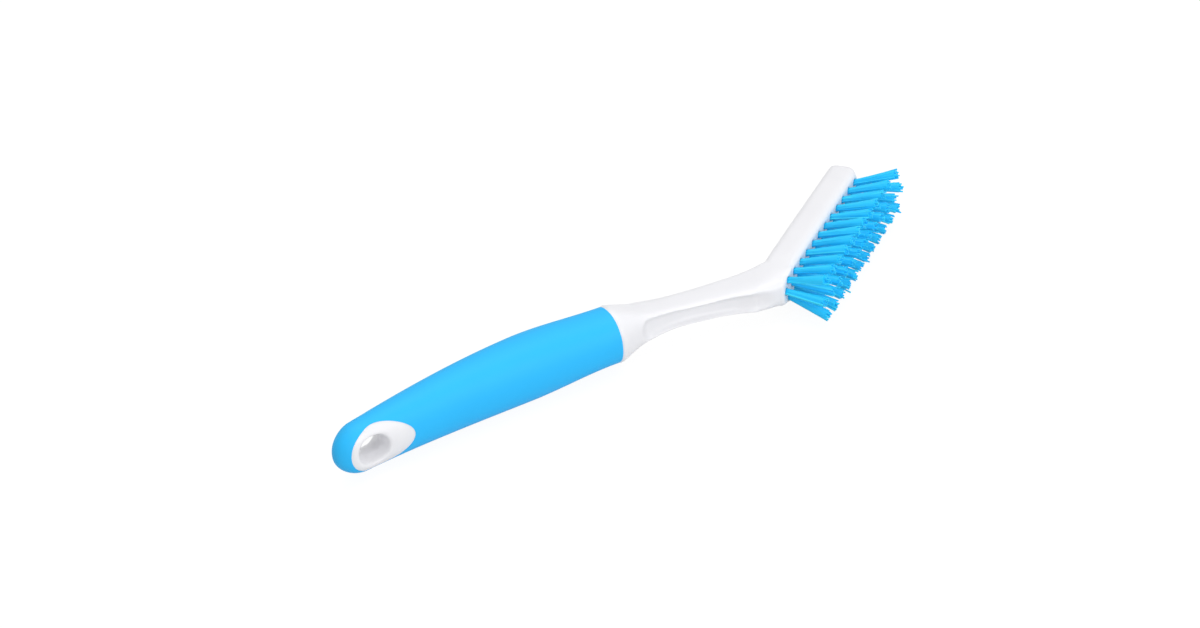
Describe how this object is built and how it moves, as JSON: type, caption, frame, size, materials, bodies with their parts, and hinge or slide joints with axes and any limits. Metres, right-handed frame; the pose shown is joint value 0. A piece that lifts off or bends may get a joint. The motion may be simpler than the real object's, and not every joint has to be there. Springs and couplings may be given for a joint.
{
  "type": "grout brush",
  "caption": "Slim grout and corner brush: soft over-moulded handle with a hanging hole, angled narrow head with rows of stiff bristle tufts.",
  "frame": {"origin": "middle of the hanging hole, on the part's mirror plane", "axes": "+X along the neck from the hanging end towards the head, +Y towards the back of the brush, away from the bristles, +Z across its width: the brush lies on its side"},
  "size_m": [0.266, 0.0762, 0.0248],
  "materials": {
    "body": "white injection-moulded polypropylene, satin sheen",
    "grip": "sky-blue thermoplastic rubber, matt",
    "bristles": "sky-blue nylon or PET bristle, slightly glossy",
    "anchors": "plated flat wire"
  },
  "bodies": {
    "root": {"body": "body", "grip": "grip", "tuft_anchors": "anchors", "tuft_left_1": "bristles", "tuft_left_2": "bristles", "tuft_left_3": "bristles", "tuft_left_4": "bristles", "tuft_left_5": "bristles", "tuft_left_6": "bristles", "tuft_left_7": "bristles", "tuft_left_8": "bristles", "tuft_left_9": "bristles", "tuft_left_10": "bristles", "tuft_left_11": "bristles", "tuft_left_12": "bristles", "tuft_middle_1": "bristles", "tuft_middle_2": "bristles", "tuft_middle_3": "bristles", "tuft_middle_4": "bristles", "tuft_middle_5": "bristles", "tuft_middle_6": "bristles", "tuft_middle_7": "bristles", "tuft_middle_8": "bristles", "tuft_middle_9": "bristles", "tuft_middle_10": "bristles", "tuft_middle_11": "bristles", "tuft_middle_12": "bristles", "tuft_middle_13": "bristles", "tuft_right_1": "bristles", "tuft_right_2": "bristles", "tuft_right_3": "bristles", "tuft_right_4": "bristles", "tuft_right_5": "bristles", "tuft_right_6": "bristles", "tuft_right_7": "bristles", "tuft_right_8": "bristles", "tuft_right_9": "bristles", "tuft_right_10": "bristles", "tuft_right_11": "bristles", "tuft_right_12": "bristles"}
  },
  "joints": []
}
